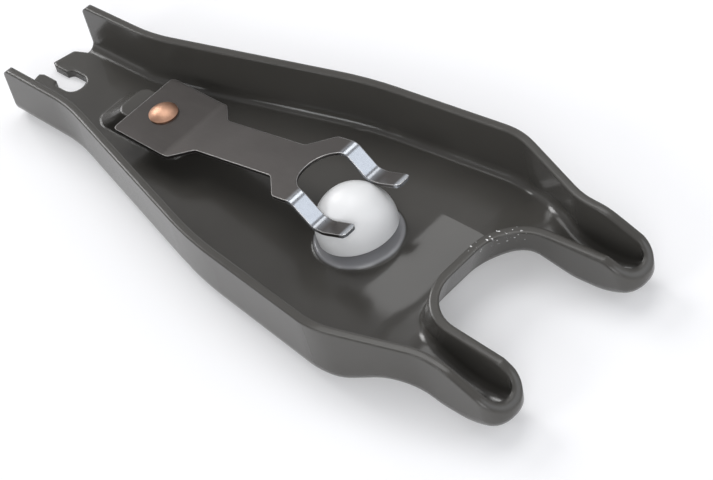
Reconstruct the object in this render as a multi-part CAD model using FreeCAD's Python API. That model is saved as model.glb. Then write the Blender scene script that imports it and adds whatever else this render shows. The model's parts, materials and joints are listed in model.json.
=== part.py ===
import FreeCAD, Part
import math
import os

# Clutch release fork: a pressed steel pan that pivots on a nylon-capped boss.
# Millimetres. X runs from the cable end (-) to the prongs (+), Y across, Z up.
# The origin is on the pivot's axis, at the level of the web's underside.

V = FreeCAD.Vector

# Pressed body
SHEET = 2.0                 # steel sheet
BEND_OUT = 4.2              # outer radius where the web turns up into the walls
END_X = -106.3              # cut end of the two ears
EAR_CORNER = 2.0            # round at an ear's top
END_HALF = 14.3             # half width at the cable end
FLARE_X, FLARE_HALF = -81.5, 15.0    # where the lever starts to widen
SHOULDER_X, SHOULDER_HALF = -21.5, 30.9
BELLY_X, BELLY_HALF = 22.0, 35.6     # widest place
WAIST_X, WAIST_HALF = 45.5, 27.7     # root of the prongs
NOSE_X, PRONG_HALF = 66.4, 27.8      # tips of the prongs
NOSE_ROUND = 0.95           # a full half circle at a prong's nose would be 1
GAP_HALF, GAP_NOSE_HALF = 14.7, 16.7 # half the gap, at its root and between the noses
CROTCH_X = 34.2             # root of the gap, at the height of the lip
CROTCH_LEAN = 24.0          # the flange there leans over the gap, degrees
CROTCH_CORNER = 11.0
RIM_END, RIM_BELLY = 15.5, 17.0      # rim height at the ears and at the belly
RIM_NOSE = 7.2              # rim height at the very tip
LIP = 12.6                  # height of the flange round the gap
ARCH_X0, ARCH_X, ARCH_X1 = 25.5, 36.5, 49.0   # the underside arches up before the prongs
ARCH_RISE = 3.9
SCOOP_X, SCOOP_RISE = 54.5, 4.8     # the prongs' undersides curve up from here

# Cable end
TONGUE_X = -111.5           # tips of the two tongues
TONGUE_HALF = 8.6
SLOT_WIDE, SLOT_X0, SLOT_X1 = 6.4, -105.5, -97.5
MOUTH_WIDE, LEAD_IN = 3.8, 1.2

# Raised pad under the spring
PAD_X0, PAD_X1 = -86.5, -55.0
PAD_TOP_X0, PAD_TOP_X1 = -76.5, -58.5
PAD_HALF, PAD_TOP_HALF = 7.2, 5.0
PAD_RISE = 6.3

# Pivot boss drawn up from the web
SHOULDER_R, SHOULDER_TOP_R = 11.1, 10.3
SHOULDER_RISE = 0.8
BALL_R = 6.6
BALL_Z = 7.6                # centre of the boss's round end

# Nylon pivot cap
CAP_R = 9.7                 # of the side and of the domed top
CAP_LEAN = 8.0              # degrees towards the cable end
CAP_CROWN = 1.7             # nylon over the top of the boss
CAP_SKIRT = 3.2             # reach below the ball's centre
CAP_CLEAR = 0.08
SKIRT_RELIEF = CAP_LEAN + 2.0        # degrees, lets the cap lean on the boss

# Retaining spring
BLADE = 0.9
HEAD_X0, HEAD_X1, HEAD_HALF = -71.5, -52.0, 10.4
STRIP_X0, STRIP_X1, STRIP_HALF = -46.5, -19.0, 5.8
STRIP_SLOPE = 12.0
LIFT_X = -53.0              # the strip starts to rise here
FORK_X0 = -13.0             # full width of the spring's fork
ARM_OUT, ARM_IN = 11.2, 7.0
ROOT_X = -12.7              # root of the cut-out between the arms
ARM_BEND_X = -7.0
ARM_DIP_X = 0.2             # the arms rest on the cap's dome here
ARM_CLEAR = 0.06
ARM_TIP_X, ARM_CURL = 9.5, 3.1       # tips and their rise

# Rivet
RIVET_X = -64.0
SHANK_R, HOLE_CLEAR = 2.5, 0.1
HEAD_R, HEAD_RISE = 3.7, 1.7
TAIL_R, TAIL_RISE = 3.5, 1.5


def rounded(points):
    """Closed chain of edges through points (u, v, radius), each corner rounded by an arc."""
    n = len(points)
    cuts = []
    for i, (u, v, r) in enumerate(points):
        here = V(u, v, 0)
        if r <= 0:
            cuts.append((here, None, here))
            continue
        a = V(*points[i - 1][:2], 0) - here
        b = V(*points[(i + 1) % n][:2], 0) - here
        a.normalize()
        b.normalize()
        half = a.getAngle(b) / 2
        reach = r / math.tan(half)
        middle = (a + b).normalize() * (r / math.sin(half) - r)
        cuts.append((here + a * reach, here + middle, here + b * reach))
    edges = []
    for i in range(n):
        start, middle, end = cuts[i]
        if middle is not None:
            edges.append(Part.Arc(start, middle, end).toShape())
        after = cuts[(i + 1) % n][0]
        if end.distanceToPoint(after) > 1e-6:
            edges.append(Part.makeLine(end, after))
    return edges


def plan_prism(points, z0, z1):
    """Solid between two heights over a rounded plan outline."""
    face = Part.Face(Part.Wire(rounded(points)))
    face.translate(V(0, 0, z0))
    return face.extrude(V(0, 0, z1 - z0))


def side_prism(points, half_width, grown=0):
    """Solid across the fork over a rounded side outline given as (x, z, radius)."""
    outline = Part.Wire(rounded(points))
    face = Part.Face(outline.makeOffset2D(grown, 2) if grown else outline)
    face.rotate(V(0, 0, 0), V(1, 0, 0), 90)
    face.translate(V(0, half_width, 0))
    return face.extrude(V(0, -2 * half_width, 0))


def mirrored(half):
    """Closed outline from its upper half, symmetric about Y = 0."""
    return half + [(x, -y, r) for x, y, r in reversed(half)]


# Pan: a block with a bent foot, and the same block smaller by one sheet

def outer_outline(thickness):
    """Plan outline of the pan without its gap, moved in by the sheet's thickness."""
    nose = NOSE_ROUND * (PRONG_HALF - GAP_NOSE_HALF) / 2
    outline = Part.Wire(rounded(mirrored([
        (NOSE_X, PRONG_HALF, nose),
        (WAIST_X, WAIST_HALF, 18),
        (BELLY_X, BELLY_HALF, 22),
        (SHOULDER_X, SHOULDER_HALF, 110),
        (FLARE_X, FLARE_HALF, 45),
        (END_X - 25, END_HALF, 0),
    ])))
    return outline.makeOffset2D(-thickness, 2) if thickness else outline


def gap_prism(thickness, foot, top):
    """The gap between the prongs, grown by the sheet's thickness and leaning like its flange."""
    lean = math.radians(CROTCH_LEAN)
    root = CROTCH_X - thickness / math.cos(lean) + (foot - LIP) * math.tan(lean)
    past = NOSE_X + 40
    widening = (GAP_NOSE_HALF - GAP_HALF) / (NOSE_X - CROTCH_X)
    face = Part.Face(Part.Wire(rounded(mirrored([
        (root, GAP_HALF + thickness, CROTCH_CORNER + thickness),
        (past, GAP_HALF + thickness + widening * (past - CROTCH_X), 0),
    ]))))
    face.translate(V(0, 0, foot))
    return face.extrude(V((top - foot) * math.tan(lean), 0, top - foot))


def underside(thickness):
    """What is cut away below: the arch before the prongs and the lift of their tips."""
    turn = 2 * math.atan2(SCOOP_RISE, NOSE_X - SCOOP_X)
    reach = SCOOP_RISE / math.sin(turn)
    return side_prism([
        (ARCH_X0 - 6, -9, 0), (ARCH_X0 - 6, 0, 0), (ARCH_X0, 0, 16), (ARCH_X, ARCH_RISE, 12), (ARCH_X1, 0, 16),
        (SCOOP_X + reach, 0, reach / math.tan(turn / 2)),
        (SCOOP_X + reach + 30 * math.cos(turn), 30 * math.sin(turn), 0),
        (SCOOP_X + reach + 30 * math.cos(turn), -9, 0)], 60, thickness)


def pan_block(thickness, bend):
    """Block over the whole plan, one thickness inside the pan's surface, with a foot rounded by bend."""
    foot, top = thickness, RIM_BELLY + 6
    block = Part.Face(outer_outline(thickness)).extrude(V(0, 0, top - foot))
    block.translate(V(0, 0, foot))
    block = block.cut(gap_prism(thickness, foot - 1, top + 1))
    nose = NOSE_ROUND * (PRONG_HALF - GAP_NOSE_HALF) / 2 - thickness
    gap_corners = [edge for edge in block.Edges
                   if edge.BoundBox.XMin > NOSE_X - thickness - 1 and edge.BoundBox.ZLength > top / 2
                   and abs(edge.CenterOfMass.y) < (GAP_NOSE_HALF + PRONG_HALF) / 2]
    block = block.makeFillet(nose, gap_corners).cut(underside(thickness))
    foot_edges = [edge for edge in block.Edges
                  if edge.BoundBox.ZMax < foot + SCOOP_RISE + 0.1
                  and (edge.BoundBox.XLength > 0.01 or edge.BoundBox.XMin > NOSE_X - thickness - 0.1)]
    return block.makeFillet(bend, foot_edges)


def side_profile():
    """What is kept in the side view: under the rim line and short of the cut ears."""
    return side_prism([
        (END_X, -5, 0), (END_X, RIM_END, EAR_CORNER), (BELLY_X, RIM_BELLY, 60), (52.5, RIM_BELLY - 1.5, 14),
        (61.5, RIM_BELLY - 5.4, 10), (NOSE_X + 1, RIM_NOSE, 0), (NOSE_X + 1, -5, 0)], 60)


def above_lip():
    """What is cut off the lower flange round the gap."""
    lip_half = (GAP_NOSE_HALF + PRONG_HALF) / 2
    return Part.makeBox(NOSE_X, 2 * lip_half, 40, V(CROTCH_X / 2, -lip_half, LIP))


# Cable end: two tongues beside an open key slot

def tongues():
    web_half = END_HALF - BEND_OUT
    return plan_prism(mirrored([
        (TONGUE_X, MOUTH_WIDE / 2 + LEAD_IN, 0.4),
        (TONGUE_X + 1.4, TONGUE_HALF, 1.2),
        (END_X, web_half, 2.4),
        (END_X + 12, web_half, 0),
    ]), 0, SHEET)


def key_slot():
    chamber = plan_prism(mirrored([
        (SLOT_X0, SLOT_WIDE / 2, 1.6), (SLOT_X1, SLOT_WIDE / 2, SLOT_WIDE / 2 - 0.01)]), -2, SHEET + 2)
    mouth = plan_prism([
        (TONGUE_X - 1, -MOUTH_WIDE / 2 - LEAD_IN, 0), (TONGUE_X + LEAD_IN, -MOUTH_WIDE / 2, 0),
        (SLOT_X0 + 1, -MOUTH_WIDE / 2, 0), (SLOT_X0 + 1, MOUTH_WIDE / 2, 0),
        (TONGUE_X + LEAD_IN, MOUTH_WIDE / 2, 0), (TONGUE_X - 1, MOUTH_WIDE / 2 + LEAD_IN, 0)], -2, SHEET + 2)
    return chamber.fuse(mouth)


# Raised pad, pressed up so that the rivet's tail stays above the underside

def pad_bump(foot, drop):
    """Loft from the pad's foot to its flat top, lowered by drop."""
    low = Part.Wire(rounded(mirrored([(PAD_X0, PAD_HALF, 4.5), (PAD_X1, PAD_HALF, 4.5)])))
    high = Part.Wire(rounded(mirrored([(PAD_TOP_X0, PAD_TOP_HALF, 2.5), (PAD_TOP_X1, PAD_TOP_HALF, 2.5)])))
    low.translate(V(0, 0, foot))
    high.translate(V(0, 0, SHEET + PAD_RISE - drop))
    return Part.makeLoft([low, high], True, True)


# Pivot boss: a low shoulder and a round-ended post, drawn up and open underneath

def chain(points):
    """Straight edges through (radius, height) points."""
    return [Part.makeLine(V(*a, 0), V(*b, 0)) for a, b in zip(points, points[1:])]


def dome_arc(radius, centre_z):
    """Quarter circle from the axis down to the side, in (radius, height)."""
    middle = radius * math.sin(math.pi / 4)
    return Part.Arc(V(0, centre_z + radius, 0), V(middle, centre_z + middle, 0), V(radius, centre_z, 0)).toShape()


def turned(profile):
    """Solid turned about the Z axis from a closed chain of edges."""
    face = Part.Face(Part.Wire(profile))
    face.rotate(V(0, 0, 0), V(1, 0, 0), 90)
    return face.revolve(V(0, 0, 0), V(0, 0, 1), 360)


def boss_outside():
    step, foot = SHEET + SHOULDER_RISE, SHEET / 2
    return turned([dome_arc(BALL_R, BALL_Z)] + chain([
        (BALL_R, BALL_Z), (BALL_R, step + 0.4), (BALL_R + 0.4, step), (SHOULDER_TOP_R, step), (SHOULDER_R, SHEET),
        (SHOULDER_R, foot), (0, foot), (0, BALL_Z + BALL_R)]))


def boss_hollow():
    """One sheet inside the boss; its end is coned, as the punch leaves it."""
    post, end = BALL_R - SHEET, BALL_Z + BALL_R - SHEET
    low = SHOULDER_TOP_R - SHEET
    return turned(chain([
        (0, end), (post * 0.4, end), (post, end - post * 0.6), (post, SHOULDER_RISE), (low, SHOULDER_RISE),
        (low + SHOULDER_RISE, 0), (low + SHOULDER_RISE, -1), (0, -1), (0, end)]))


def rivet_hole(z):
    return Part.makeCylinder(SHANK_R + HOLE_CLEAR, 12, V(RIVET_X, 0, z))


def fork_body():
    body = pan_block(0, BEND_OUT).cut(pan_block(SHEET, BEND_OUT - SHEET))
    body = body.common(side_profile()).cut(above_lip())
    body = body.fuse([tongues(), pad_bump(SHEET / 2, 0), boss_outside()]).removeSplitter()
    return body.cut([key_slot(), pad_bump(-0.5, SHEET), boss_hollow(), rivet_hole(0)])


# Cap: nylon thimble over the boss, leaning with the spring

def dome_centre():
    return BALL_Z + BALL_R + CAP_CLEAR + CAP_CROWN - CAP_R


def pivot_cap():
    """Domed cap; its socket ends in a cone that the boss's round end touches in a ring."""
    socket = BALL_R + CAP_CLEAR
    seat = socket * (math.sqrt(2) - 1)
    low = BALL_Z - CAP_SKIRT
    mouth = socket + CAP_SKIRT * math.tan(math.radians(SKIRT_RELIEF)) + 0.1
    cap = turned([dome_arc(CAP_R, dome_centre())] + chain([
        (CAP_R, dome_centre()), (CAP_R, low + 0.4), (CAP_R - 0.4, low), (mouth, low), (socket, BALL_Z),
        (socket, BALL_Z + seat), (seat, BALL_Z + socket), (0, BALL_Z + socket), (0, dome_centre() + CAP_R)]))
    cap.rotate(V(0, 0, BALL_Z), V(0, 1, 0), -CAP_LEAN)
    return cap


# Spring: one blade, riveted on the pad, its two arms resting on the cap's dome

def blade_path():
    """Underside of the blade as (x, z, bend radius), from the head to the arms' tips."""
    seat = SHEET + PAD_RISE
    crest = seat + (ARM_BEND_X - LIFT_X) * math.tan(math.radians(STRIP_SLOPE))
    rest = dome_centre() + math.sqrt(CAP_R ** 2 - ARM_IN ** 2) + ARM_CLEAR
    run = ARM_TIP_X - ARM_DIP_X - 1.6
    return [
        (HEAD_X0 - 5, seat, 0),
        (LIFT_X, seat, 12),
        (ARM_BEND_X, crest, 1.6),
        (ARM_DIP_X - 1.6, rest, 3.0),
        (ARM_DIP_X + 1.6, rest, 8.0),
        (ARM_TIP_X + 1, rest + ARM_CURL * (run + 1) / run, 0),
    ]


def thickened(path, thickness):
    """Closed outline between a bent path and its parallel, one thickness above."""
    upper = []
    for i, (x, z, r) in enumerate(path):
        before = path[i - 1] if i else None
        after = path[i + 1] if i < len(path) - 1 else None
        normals = []
        for a, b in ((before, path[i]), (path[i], after)):
            if a is not None and b is not None:
                run, rise = b[0] - a[0], b[1] - a[1]
                long = math.hypot(run, rise)
                normals.append((-rise / long, run / long))
        nx = sum(n[0] for n in normals) / len(normals)
        nz = sum(n[1] for n in normals) / len(normals)
        scale = thickness / (nx * nx + nz * nz)
        turn = 0
        if len(normals) == 2:
            turn = normals[0][0] * normals[1][1] - normals[0][1] * normals[1][0]
        radius = r - thickness if turn > 0 else r + thickness
        upper.append((x + nx * scale, z + nz * scale, radius if r else 0))
    return path + list(reversed(upper))


def retaining_spring():
    bent = side_prism(thickened(blade_path(), BLADE), ARM_OUT + 5)
    plan = plan_prism(mirrored([
        (HEAD_X0, HEAD_HALF, 1.2),
        (HEAD_X1, HEAD_HALF, 2.0),
        (STRIP_X0, STRIP_HALF, 2.4),
        (STRIP_X1, STRIP_HALF, 2.4),
        (FORK_X0, ARM_OUT, 2.0),
        (ARM_TIP_X, ARM_OUT, 1.2),
        (ARM_TIP_X, ARM_IN, 1.2),
        (ROOT_X, ARM_IN, ARM_IN - 0.3),
    ]), 0, 40)
    return bent.common(plan).cut(rivet_hole(SHEET + PAD_RISE - 4))


# Rivet: domed head on the blade, tail closed inside the pad's hollow

def spring_rivet():
    under = PAD_RISE
    seat = SHEET + PAD_RISE + BLADE
    dome_r = (HEAD_R ** 2 + (HEAD_RISE - 0.4) ** 2) / (2 * (HEAD_RISE - 0.4))
    head = Part.makeCylinder(HEAD_R, HEAD_RISE, V(0, 0, seat)).common(
        Part.makeSphere(dome_r, V(0, 0, seat + HEAD_RISE - dome_r)))
    shank = Part.makeCylinder(SHANK_R, seat - under, V(0, 0, under))
    tail = Part.makeCone(TAIL_R - 0.5, TAIL_R, TAIL_RISE, V(0, 0, under - TAIL_RISE))
    rivet = head.fuse([shank, tail]).removeSplitter()
    rivet.translate(V(RIVET_X, 0, 0))
    return rivet


os.makedirs("parts", exist_ok=True)
for node, shape in (("fork_body", fork_body()), ("retaining_spring", retaining_spring()),
                    ("pivot_cap", pivot_cap()), ("spring_rivet", spring_rivet())):
    print(node, shape.ShapeType, len(shape.Solids), shape.isValid(), round(shape.Volume), shape.BoundBox)
    shape.exportStep("parts/%s.step" % node)
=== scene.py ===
import bpy
import json
import numpy as np
from mathutils import Matrix, Vector

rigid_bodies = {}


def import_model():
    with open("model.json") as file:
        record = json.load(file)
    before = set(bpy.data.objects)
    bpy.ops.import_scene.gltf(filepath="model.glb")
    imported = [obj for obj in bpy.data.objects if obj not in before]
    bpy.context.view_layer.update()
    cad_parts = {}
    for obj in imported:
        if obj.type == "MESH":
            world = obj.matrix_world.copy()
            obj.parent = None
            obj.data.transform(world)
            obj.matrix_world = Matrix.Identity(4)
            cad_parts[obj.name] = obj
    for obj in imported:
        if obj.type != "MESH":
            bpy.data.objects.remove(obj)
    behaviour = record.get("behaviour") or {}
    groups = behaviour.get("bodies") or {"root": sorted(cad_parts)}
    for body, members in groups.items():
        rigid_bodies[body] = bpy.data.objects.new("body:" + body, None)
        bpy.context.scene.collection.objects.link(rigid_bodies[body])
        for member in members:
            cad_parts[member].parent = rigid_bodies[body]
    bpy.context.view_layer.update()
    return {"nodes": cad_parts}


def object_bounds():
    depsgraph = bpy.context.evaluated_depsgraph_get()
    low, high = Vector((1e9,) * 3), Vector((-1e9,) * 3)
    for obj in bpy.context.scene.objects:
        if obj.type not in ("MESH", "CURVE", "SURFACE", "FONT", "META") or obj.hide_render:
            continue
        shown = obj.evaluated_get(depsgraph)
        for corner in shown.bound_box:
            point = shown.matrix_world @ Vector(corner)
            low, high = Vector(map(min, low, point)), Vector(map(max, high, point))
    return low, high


for leftover in list(bpy.data.objects):
    bpy.data.objects.remove(leftover)
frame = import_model()


# Pressed fork body. One blank of sheet steel, drawn into a pan and trimmed, then dipped in thin
# black paint, glossy and slightly uneven. The boss's shoulder is painted pale, partly for paint rubbed
# by the cap and partly as a painted reflection of the white cap. Along the lip over the gap between
# the prongs, white specks are painted glints that stand for nicks in the paint.

paint_dark = (0.057, 0.0540, 0.0485, 1)
paint_pale = (0.071, 0.0675, 0.0610, 1)
# Pale colour of the shoulder ring: rub wear and a painted reflection of the white cap.
worn_and_reflected_pale = (0.32, 0.32, 0.33, 1)
# White of the painted glints along the lip over the gap.
painted_glint_white = (0.90, 0.90, 0.90, 1)
clear_roughness = 0.14
cloudy_roughness = 0.24
paint_ior = 1.52
# Noise range that places the painted glint specks.
glint_speck_threshold = (0.67, 0.72)
panel_lean = (0.18, -0.06, 0.0)
edge_radius = 0.0009
prong_edge_radius = 0.0016

# Borders of areas on the body, each from where the area starts to where it is whole, in metres.
shoulder_outside = (0.0120, 0.0112)
shoulder_foot = (0.0021, 0.0026)
lip_back = (0.0270, 0.0285)
lip_front = (0.0410, 0.0390)
lip_right = (0.0020, 0.0050)
lip_left = (0.0150, 0.0130)
lip_foot = (0.0090, 0.0105)
panel_back = (0.0105, 0.0145)
panel_left = (0.0158, 0.0152)
panel_right = (-0.0190, -0.0060)
panel_top = (0.0040, 0.0030)
prong_root = (0.042, 0.058)


def node(tree, kind, inputs=None, **settings):
    """Adds a shader node; inputs maps a socket's name or number to a value or to another node's socket."""
    made = tree.nodes.new(kind)
    for key, value in settings.items():
        setattr(made, key, value)
    for socket, value in (inputs or {}).items():
        if isinstance(value, bpy.types.NodeSocket):
            tree.links.new(value, made.inputs[socket])
        else:
            made.inputs[socket].default_value = value
    return made


def blank_material(name):
    material = bpy.data.materials.new(name)
    material.use_nodes = True
    tree = material.node_tree
    tree.nodes.clear()
    return material, tree


def math_node(tree, operation, a, b=0.0, c=0.0):
    return node(tree, "ShaderNodeMath", {0: a, 1: b, 2: c}, operation=operation).outputs[0]


def product(tree, first, *others):
    for other in others:
        first = math_node(tree, "MULTIPLY", first, other)
    return first


def between(tree, value, border):
    """0 at the border's start, 1 at its end and smooth between them, whichever of the two is larger."""
    start, end = border
    rising = node(tree, "ShaderNodeMapRange", {"Value": value, "From Min": start, "From Max": end},
                  interpolation_type="SMOOTHSTEP")
    return rising.outputs["Result"]


def from_to(tree, amount, first, last):
    """first + amount * (last - first)."""
    return math_node(tree, "MULTIPLY_ADD", amount, last - first, first)


def grain(tree, place, scale, detail):
    """Noise with scale features to the metre."""
    return node(tree, "ShaderNodeTexNoise", {"Vector": place, "Scale": scale, "Detail": detail}).outputs["Fac"]


def blend_colour(tree, amount, a, b):
    """a where amount is 0, b where it is 1."""
    mix = node(tree, "ShaderNodeMix", {0: amount}, data_type="RGBA")
    for socket, value in ((mix.inputs[6], a), (mix.inputs[7], b)):
        if isinstance(value, bpy.types.NodeSocket):
            tree.links.new(value, socket)
        else:
            socket.default_value = value
    return mix.outputs[2]


def bumped(tree, height, strength, distance, normal=None):
    inputs = {"Height": height, "Strength": strength, "Distance": distance}
    if normal is not None:
        inputs["Normal"] = normal
    return node(tree, "ShaderNodeBump", inputs).outputs["Normal"]


def distance_from_pivot(tree, place):
    """The length of (x, y), which is the distance from the pivot's upright axis."""
    flat = node(tree, "ShaderNodeMapping", {"Vector": place, "Scale": (1, 1, 0)}).outputs[0]
    return node(tree, "ShaderNodeVectorMath", {0: flat}, operation="LENGTH").outputs["Value"]


def leaned(tree, normal, amount, lean):
    """The unit vector of normal + amount * lean."""
    scaled = node(tree, "ShaderNodeVectorMath", {0: lean, "Scale": amount}, operation="SCALE").outputs[0]
    added = node(tree, "ShaderNodeVectorMath", {0: normal, 1: scaled}, operation="ADD").outputs[0]
    return node(tree, "ShaderNodeVectorMath", {0: added}, operation="NORMALIZE").outputs[0]


def black_paint():
    material, tree = blank_material("black_paint_on_pressed_steel")
    place = node(tree, "ShaderNodeTexCoord").outputs["Object"]
    x, y, z = node(tree, "ShaderNodeSeparateXYZ", {0: place}).outputs
    cloud = grain(tree, place, scale=45.0, detail=4.0)
    colour = blend_colour(tree, cloud, paint_dark, paint_pale)
    # Painted reflection: the shoulder ring round the pivot is painted pale, partly rub wear, partly the white
    # cap's reflection.
    rub_and_reflection = product(tree, between(tree, distance_from_pivot(tree, place), shoulder_outside),
                     between(tree, z, shoulder_foot))
    colour = blend_colour(tree, rub_and_reflection, colour, worn_and_reflected_pale)
    # Painted glints: white specks along the lip over the gap stand for nicks in the paint catching the light.
    lip = product(tree, between(tree, x, lip_back), between(tree, x, lip_front), between(tree, y, lip_right),
                  between(tree, y, lip_left), between(tree, z, lip_foot))
    nick_glints = product(tree, lip, between(tree, grain(tree, place, scale=1300.0, detail=1.0), glint_speck_threshold))
    colour = blend_colour(tree, nick_glints, colour, painted_glint_white)
    # The sheared edges are rounded off, more so on the prongs.
    rounding = from_to(tree, between(tree, x, prong_root), edge_radius, prong_edge_radius)
    soft_edge = node(tree, "ShaderNodeBevel", {"Radius": rounding}, samples=8).outputs["Normal"]
    # The web in front of the gap catches the light as if a panel of it stood some ten degrees out of level.
    panel = product(tree, between(tree, x, panel_back), between(tree, y, panel_left),
                    between(tree, y, panel_right), between(tree, z, panel_top))
    leaning = leaned(tree, soft_edge, panel, panel_lean)
    fine = grain(tree, place, scale=900.0, detail=2.0)
    coarse = grain(tree, place, scale=140.0, detail=2.0)
    peel = bumped(tree, fine, strength=0.05, distance=0.0001, normal=leaning)
    surface = bumped(tree, coarse, strength=0.10, distance=0.0004, normal=peel)
    shader = node(tree, "ShaderNodeBsdfPrincipled", {
        "Base Color": colour, "Roughness": from_to(tree, cloud, clear_roughness, cloudy_roughness),
        "IOR": paint_ior, "Normal": surface})
    node(tree, "ShaderNodeOutputMaterial", {"Surface": shader.outputs[0]})
    return material


def dress(cad_node, material):
    for slot in frame["nodes"][cad_node].material_slots:
        slot.material = material


dress("fork_body", black_paint())


# Nylon pivot cap. An injection-moulded white thimble, pushed over the boss by hand and
# held down by the spring's arms. Its skin is satin, a little translucent.

nylon_dull = (0.80, 0.805, 0.81, 1)
nylon_white = (0.87, 0.87, 0.865, 1)
nylon_depth = (0.0018, 0.0018, 0.0018)


def white_nylon():
    material, tree = blank_material("white_nylon")
    place = node(tree, "ShaderNodeTexCoord").outputs["Object"]
    cloud = grain(tree, place, scale=160.0, detail=3.0)
    skin = bumped(tree, grain(tree, place, scale=1300.0, detail=2.0), strength=0.08, distance=0.0001)
    shader = node(tree, "ShaderNodeBsdfPrincipled", {
        "Base Color": blend_colour(tree, cloud, nylon_dull, nylon_white),
        "Roughness": from_to(tree, cloud, 0.30, 0.45), "Subsurface Weight": 0.25,
        "Subsurface Radius": nylon_depth, "Subsurface Scale": 1.0, "Normal": skin})
    node(tree, "ShaderNodeOutputMaterial", {"Surface": shader.outputs[0]})
    return material


dress("pivot_cap", white_nylon())


# Retaining spring. One leaf of hardened strip, stamped and bent, with the brown-grey film
# of tempering on its faces, pale sheared edges, and pale bluish steel painted on the arms'
# steep parts and tips: partly steel rubbed bright by the tool, partly a painted reflection.

film_dark = (0.055, 0.050, 0.047, 1)
film_pale = (0.086, 0.079, 0.075, 1)
# Pale bluish steel of the arms' slopes and tips: rub wear and a painted reflection.
rubbed_and_reflected_steel = (0.46, 0.485, 0.52, 1)
sheared_steel = (0.50, 0.49, 0.48, 1)
slope_top = (-0.0088, -0.0068)
slope_foot = (0.0020, -0.0020)
tip_start = (0.0072, 0.0088)
strip_edge_radius = 0.00035
edge_turn = (0.98, 0.90)
rolling_streaks = (60.0, 1200.0, 1200.0)


def tempered_leaf():
    material, tree = blank_material("tempered_spring_steel")
    place = node(tree, "ShaderNodeTexCoord").outputs["Object"]
    x = node(tree, "ShaderNodeSeparateXYZ", {0: place}).outputs[0]
    # The steep part of each arm and its tip are painted pale bluish steel, partly rubbed by the tool and
    # partly a painted reflection; the dip between them keeps its film.
    slope = product(tree, between(tree, x, slope_top), between(tree, x, slope_foot))
    rub_and_reflection = math_node(tree, "MAXIMUM", slope, between(tree, x, tip_start))
    film = blend_colour(tree, grain(tree, place, scale=70.0, detail=4.0), film_dark, film_pale)
    colour = blend_colour(tree, rub_and_reflection, film, rubbed_and_reflected_steel)
    # The sheared edges are where the rounded normal turns away from the face's own.
    true_face = node(tree, "ShaderNodeNewGeometry").outputs["Normal"]
    soft_edge = node(tree, "ShaderNodeBevel", {"Radius": strip_edge_radius}, samples=8).outputs["Normal"]
    likeness = node(tree, "ShaderNodeVectorMath", {0: true_face, 1: soft_edge}, operation="DOT_PRODUCT")
    colour = blend_colour(tree, between(tree, likeness.outputs["Value"], edge_turn), colour, sheared_steel)
    # The strip's rolling marks run along it.
    along = node(tree, "ShaderNodeMapping", {"Vector": place, "Scale": rolling_streaks}).outputs[0]
    streaks = grain(tree, along, scale=1.0, detail=3.0)
    polish = math_node(tree, "MULTIPLY", rub_and_reflection, 0.14)
    roughness = math_node(tree, "SUBTRACT", from_to(tree, streaks, 0.28, 0.44), polish)
    surface = bumped(tree, streaks, strength=0.10, distance=0.0001, normal=soft_edge)
    shader = node(tree, "ShaderNodeBsdfPrincipled", {
        "Base Color": colour, "Metallic": 0.8, "Roughness": roughness, "Normal": surface})
    node(tree, "ShaderNodeOutputMaterial", {"Surface": shader.outputs[0]})
    return material


dress("retaining_spring", tempered_leaf())


# Rivet. Soft steel with a copper flash, its low dome formed by a snap tool that leaves
# the skin satin and faintly dimpled.

copper_brown = (0.40, 0.21, 0.135, 1)
copper_bright = (0.70, 0.43, 0.30, 1)


def copper_flash():
    material, tree = blank_material("copper_flash")
    place = node(tree, "ShaderNodeTexCoord").outputs["Object"]
    cloud = grain(tree, place, scale=330.0, detail=4.0)
    skin = bumped(tree, grain(tree, place, scale=520.0, detail=3.0), strength=0.25, distance=0.0002)
    shader = node(tree, "ShaderNodeBsdfPrincipled", {
        "Base Color": blend_colour(tree, cloud, copper_brown, copper_bright), "Metallic": 1.0,
        "Roughness": from_to(tree, cloud, 0.34, 0.54), "Normal": skin})
    node(tree, "ShaderNodeOutputMaterial", {"Surface": shader.outputs[0]})
    return material


dress("spring_rivet", copper_flash())


# Studio. A white table that takes the fork's shadow, in a room that darkens upwards, with
# five soft boxes: one overhead, one past the prongs, one past the cable's end, one to the
# right and one on the camera's side.

table_half_width = 6.0
table_clearance = 0.00005
table_colour = (0.78, 0.78, 0.79, 1)
table_glow = 0.20
horizon_grey = (0.85, 0.85, 0.86, 1)
upper_grey = (0.34, 0.34, 0.35, 1)
horizon_band = (0.10, 0.45)
plain_white = (1, 1, 1, 1)

table_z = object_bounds()[0].z - table_clearance
corners = table_half_width * np.array([(-1, -1), (1, -1), (1, 1), (-1, 1)], float)
table_mesh = bpy.data.meshes.new("table_top")
table_mesh.from_pydata([(a, b, table_z) for a, b in corners], [], [(0, 1, 2, 3)])
table = bpy.data.objects.new("table_top", table_mesh)
bpy.context.scene.collection.objects.link(table)


def table_white():
    """Matt white to the lamps; the camera and glossy surfaces also see a faint glow, which whitens it."""
    material, tree = blank_material("table_white")
    matt = node(tree, "ShaderNodeBsdfDiffuse", {"Color": table_colour})
    glow = node(tree, "ShaderNodeEmission", {"Color": plain_white, "Strength": table_glow})
    both = node(tree, "ShaderNodeAddShader", {0: matt.outputs[0], 1: glow.outputs[0]})
    ray = node(tree, "ShaderNodeLightPath").outputs
    seen = math_node(tree, "MAXIMUM", ray["Is Camera Ray"], ray["Is Glossy Ray"])
    choice = node(tree, "ShaderNodeMixShader", {0: seen, 1: matt.outputs[0], 2: both.outputs[0]})
    node(tree, "ShaderNodeOutputMaterial", {"Surface": choice.outputs[0]})
    return material


table_mesh.materials.append(table_white())


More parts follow.
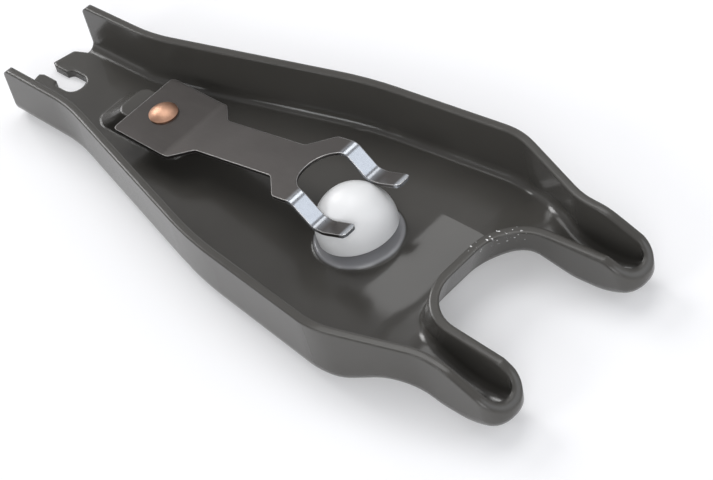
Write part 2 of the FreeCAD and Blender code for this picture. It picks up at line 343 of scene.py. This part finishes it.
def light_room():
    """Pale grey at the horizon and darker above, where it lights the object; plain white to the camera."""
    room = bpy.data.worlds.new("room")
    room.use_nodes = True
    tree = room.node_tree
    tree.nodes.clear()
    direction = node(tree, "ShaderNodeTexCoord").outputs["Generated"]
    upward = node(tree, "ShaderNodeSeparateXYZ", {0: direction}).outputs[2]
    shade = blend_colour(tree, between(tree, upward, horizon_band), horizon_grey, upper_grey)
    dim = node(tree, "ShaderNodeBackground", {"Color": shade, "Strength": 1.0})
    white = node(tree, "ShaderNodeBackground", {"Color": plain_white, "Strength": 1.0})
    seen = node(tree, "ShaderNodeLightPath").outputs["Is Camera Ray"]
    sky = node(tree, "ShaderNodeMixShader", {0: seen, 1: dim.outputs[0], 2: white.outputs[0]})
    node(tree, "ShaderNodeOutputWorld", {"Surface": sky.outputs[0]})
    return room


bpy.context.scene.world = light_room()


def soft_box(name, place, width, height, power, colour=(1, 1, 1), target=(0.0, 0.0, 0.0)):
    lamp = bpy.data.lights.new(name, "AREA")
    lamp.shape = "RECTANGLE"
    lamp.size = width
    lamp.size_y = height
    lamp.energy = power
    lamp.color = colour
    holder = bpy.data.objects.new(name, lamp)
    holder.location = place
    holder.rotation_euler = (Vector(target) - Vector(place)).to_track_quat("-Z", "Y").to_euler()
    bpy.context.scene.collection.objects.link(holder)


soft_box("overhead_box", (-0.22, 0.22, 0.8), 0.52, 0.60, power=2.1, target=(-0.22, 0.22, 0.0))
soft_box("window_box", (0.90, 0.56, 0.75), 0.75, 0.75, power=2.4, colour=(0.90, 0.94, 1.0))
soft_box("front_box", (-0.29, -1.0, 0.59), 0.36, 0.26, power=2.0, colour=(0.96, 0.98, 1.0))
soft_box("fill_box", (0.85, -0.75, 0.75), 0.75, 0.75, power=6.5, colour=(0.97, 0.98, 1.0))
soft_box("side_box", (-1.15, 0.15, 0.75), 0.50, 0.50, power=6.0)


# Camera at the photograph's place. Azimuth, elevation, roll and lens were worked out from
# the fork's straight rims and its symmetry.

azimuth, elevation, roll = np.radians((54.54, 43.58, -16.03))
distance = 0.5262
aim = Vector((-0.0108, 0.0, 0.0030))
focal_px = 2280.0
centre_px = (325.0, 214.5)
frame_px = (713.0, 480.0)
sensor_width = 36.0

level_right = Vector((np.cos(azimuth), np.sin(azimuth), 0.0))
back = Vector((np.sin(azimuth) * np.cos(elevation), -np.cos(azimuth) * np.cos(elevation), np.sin(elevation)))
level_up = back.cross(level_right)
right = level_right * np.cos(roll) + level_up * np.sin(roll)
lens = bpy.data.cameras.new("photo_lens")
lens.sensor_width = sensor_width
lens.lens = focal_px / frame_px[0] * sensor_width
lens.shift_x = (frame_px[0] / 2 - centre_px[0]) / frame_px[0]
lens.shift_y = (centre_px[1] - frame_px[1] / 2) / frame_px[0]
lens.clip_start = 0.01
lens.clip_end = 20.0
camera = bpy.data.objects.new("photo_camera", lens)
bpy.context.scene.collection.objects.link(camera)
turned = Matrix((right, back.cross(right), back)).transposed()
camera.matrix_world = Matrix.Translation(aim + back * distance) @ turned.to_4x4()
bpy.context.scene.camera = camera
bpy.context.scene.view_settings.view_transform = "Standard"
